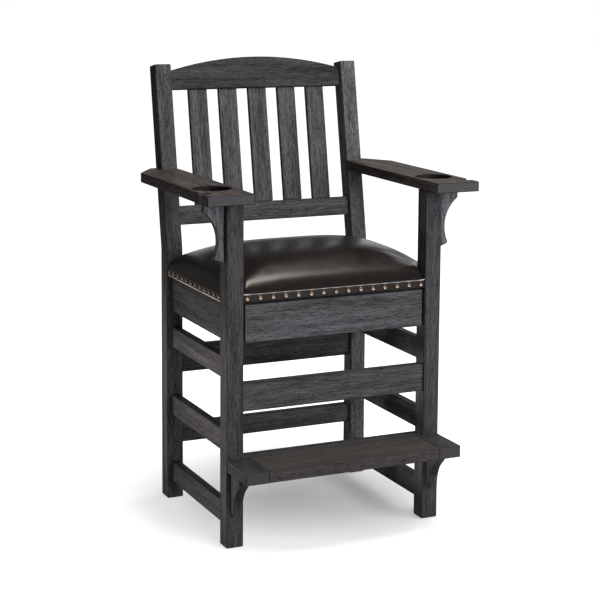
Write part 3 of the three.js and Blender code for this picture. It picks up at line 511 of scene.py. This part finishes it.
# Drawer
# A stained oak front on a box of clear-lacquered birch, pale and close-grained, with a plywood bottom in a
# groove. It slides on runners that are screwed to the side aprons and stained with the frame, as the corner
# blocks behind it are.
# Each factor paints the piece lighter or darker: partly its stain, partly painted light and shade.
finish_node("drawer_front", stained_wood("drawer front", ALONG_X, 1.28))
birch = {"dark": "#b08f66", "light": "#cbb08a", "pore": "#9a7b55", "end_grain": "#a98a64"}
for name, grain, wood in (
    ("drawer_side_left", ALONG_Y, "clear-lacquered birch"),
    ("drawer_side_right", ALONG_Y, "clear-lacquered birch"),
    ("drawer_back", ALONG_X, "clear-lacquered birch"), ("drawer_bottom", ALONG_X, "birch plywood"),
):
    finish_node(name, stained_wood(name.replace("_", " "), grain, wood=wood, **birch))
for side in ("left", "right"):
    finish_node(f"drawer_runner_{side}", stained_wood(f"drawer runner {side}", ALONG_Y, 0.8))
    finish_node(f"corner_block_{side}", stained_wood(f"corner block {side}", ALONG_Z, 0.8))


# Glides
# Round pads of moulded black nylon, pinned into the four feet. They are matt and faintly mottled.
nylon, tree = new_material("black nylon")
place = add(tree, "ShaderNodeTexCoord").outputs["Object"]
# Mottling 1.1 mm across
mottle = add(tree, "ShaderNodeTexNoise", {"Vector": place, "Scale": 900, "Detail": 2})
cover = add(tree, "ShaderNodeMix", {
    0: mottle.outputs[0], 6: linear("#121213"), 7: linear("#202022")}, data_type="RGBA")
shader = add(tree, "ShaderNodeBsdfPrincipled", {"Base Color": cover.outputs[2], "Roughness": 0.5})
add(tree, "ShaderNodeOutputMaterial", {"Surface": shader.outputs[0]})
for end in ("front", "rear"):
    for side in ("left", "right"):
        finish_node(f"foot_glide_{end}_{side}", nylon)


# Floor
# A plain white studio floor, wide enough to run out of every view. The camera sees a glow on it that lifts it
# to white away from the chair. Within 0.8 m of it the glow is weaker, a painted shade round the chair that
# the real soft shadow darkens further.
floor_mesh = bpy.data.meshes.new("floor")
shape = bmesh.new()
bmesh.ops.create_grid(shape, x_segments=2, y_segments=2, size=20)
shape.to_mesh(floor_mesh)
shape.free()
floor = bpy.data.objects.new("floor", floor_mesh)
bpy.context.scene.collection.objects.link(floor)
paint, tree = new_material("floor paint")
place = add(tree, "ShaderNodeTexCoord").outputs["Object"]
away = add(tree, "ShaderNodeVectorMath", {0: place, 1: (0.1, 0.05, 0)}, operation="DISTANCE")
fade = add(tree, "ShaderNodeMapRange", {
    "Value": away.outputs["Value"], "From Min": 0.1, "From Max": 0.82, "To Min": 0.19, "To Max": 1},
    interpolation_type="SMOOTHSTEP")
seen = add(tree, "ShaderNodeLightPath").outputs["Is Camera Ray"]
glow = add(tree, "ShaderNodeMath", {0: fade.outputs[0], 1: seen}, operation="MULTIPLY")
glow = add(tree, "ShaderNodeEmission", {"Strength": glow.outputs[0]})
matt = add(tree, "ShaderNodeBsdfDiffuse", {"Color": linear("#c4c4c4")})
both = add(tree, "ShaderNodeAddShader", {0: matt.outputs[0], 1: glow.outputs[0]})
add(tree, "ShaderNodeOutputMaterial", {"Surface": both.outputs[0]})
floor_mesh.materials.append(paint)


# Studio light
# A white sheet stands behind the chair in a dim room, and shows in the lacquer and the leather. Large soft
# lamps light the chair, with a low even fill. The camera sees plain white wherever it looks.
world = bpy.data.worlds.new("white sheet")
world.use_nodes = True
bpy.context.scene.world = world
tree = world.node_tree
tree.nodes.clear()
# In a world this is the direction that is looked along. The sheet reaches 13 degrees up and fades out by 30.
# It hangs behind the chair as the photograph sees it, and fades out between 20 and 40 degrees to its sides.
outwards = add(tree, "ShaderNodeTexCoord").outputs["Generated"]
rise = add(tree, "ShaderNodeSeparateXYZ", {0: outwards}).outputs[2]
height = add(tree, "ShaderNodeMapRange", {
    "Value": rise, "From Min": 0.22, "From Max": 0.5, "To Min": 1, "To Max": 0.05},
    interpolation_type="SMOOTHSTEP")
facing = add(tree, "ShaderNodeVectorMath", {0: outwards, 1: (0.434, 0.901, 0)}, operation="DOT_PRODUCT")
width = add(tree, "ShaderNodeMapRange", {
    "Value": facing.outputs["Value"], "From Min": 0.76, "From Max": 0.94, "To Min": 0.06, "To Max": 1},
    interpolation_type="SMOOTHSTEP")
sheet = add(tree, "ShaderNodeMath", {0: height.outputs[0], 1: width.outputs[0]}, operation="MULTIPLY")
ray = add(tree, "ShaderNodeLightPath")
mirrored = add(tree, "ShaderNodeMath", {
    0: ray.outputs["Is Glossy Ray"], 1: ray.outputs["Is Transmission Ray"]}, operation="MAXIMUM")
mirrored = add(tree, "ShaderNodeMath", {0: mirrored.outputs[0], 1: sheet.outputs[0]}, operation="MULTIPLY")
seen = add(tree, "ShaderNodeMath", {
    0: mirrored.outputs[0], 1: ray.outputs["Is Camera Ray"]}, operation="MAXIMUM")
fill = add(tree, "ShaderNodeMath", {0: ray.outputs["Is Diffuse Ray"], 1: 0.16}, operation="MULTIPLY")
strength = add(tree, "ShaderNodeMath", {0: seen.outputs[0], 1: fill.outputs[0]}, operation="MAXIMUM")
light = add(tree, "ShaderNodeBackground", {
    "Color": linear("#ffffff"), "Strength": strength.outputs[0]})
add(tree, "ShaderNodeOutputWorld", {"Surface": light.outputs[0]})


def softbox(name, place, target, size, watts, tint="#ffffff", spread=180, shines=True):
    """A square soft lamp at one place, turned to another, with its spread in degrees. One that doesn't
    shine is polarised, so that it lights the surfaces and leaves no reflection of itself on them."""
    lamp = bpy.data.lights.new(name, "AREA")
    lamp.shape = "SQUARE"
    lamp.size = size
    lamp.energy = watts
    lamp.color = linear(tint)[:3]
    lamp.spread = math.radians(spread)
    holder = bpy.data.objects.new(name, lamp)
    holder.location = place
    holder.visible_glossy = shines
    holder.rotation_euler = (Vector(target) - Vector(place)).to_track_quat("-Z", "Y").to_euler()
    bpy.context.scene.collection.objects.link(holder)


softbox("overhead lamp", (0.25, -0.7, 3.1), (0, 0, 0.6), 1.1, 54, "#fff4ea")
softbox("front lamp", (0.3, -3.8, 1.7), (0, 0, 0.6), 2.4, 100, "#fbfbff", shines=False)
softbox("front right lamp", (1.5, -1.6, 1.4), (0.2, 0, 0.8), 1.2, 33, "#fbfbff", shines=False)
softbox("right lamp", (3.2, 0.8, 2.6), (0, 0, 0.5), 2.4, 60)
softbox("low left lamp", (-2.8, 1.3, 0.3), (-0.3, -0.1, 0.3), 0.4, 2.9, "#fff6ec", 20, False)
softbox("small front lamp", (-0.4, -3.4, 1.3), (0, 0, 0.7), 0.3, 7)


# Camera
# Fitted to the photograph: 4.5 m away, a little above the back and looking slightly down. The shift frames
# the chair as the photograph does.
frame_width = 600  # in pixels, as the focal length and the shift are
focal_length = 1638.3
shift_right, shift_up = -36.87, -130.23
yaw, pitch, roll = (math.radians(a) for a in (25.724, 7.132, 0.529))
ahead = Vector((math.sin(yaw) * math.cos(pitch), math.cos(yaw) * math.cos(pitch), -math.sin(pitch)))
level = Vector((math.cos(yaw), -math.sin(yaw), 0))
above = level.cross(ahead)
across = level * math.cos(roll) + above * math.sin(roll)
upright = -level * math.sin(roll) + above * math.cos(roll)
camera = bpy.data.objects.new("camera", bpy.data.cameras.new("camera"))
camera.data.sensor_width = 36
camera.data.lens = focal_length / frame_width * camera.data.sensor_width
camera.data.shift_x = shift_right / frame_width
camera.data.shift_y = shift_up / frame_width
camera.data.clip_end = 60
camera.matrix_world = Matrix((across, upright, -ahead)).transposed().to_4x4()
camera.location = (-1.79344, -3.93876, 1.47066)
bpy.context.scene.collection.objects.link(camera)
bpy.context.scene.camera = camera
bpy.context.scene.view_settings.view_transform = "Standard"
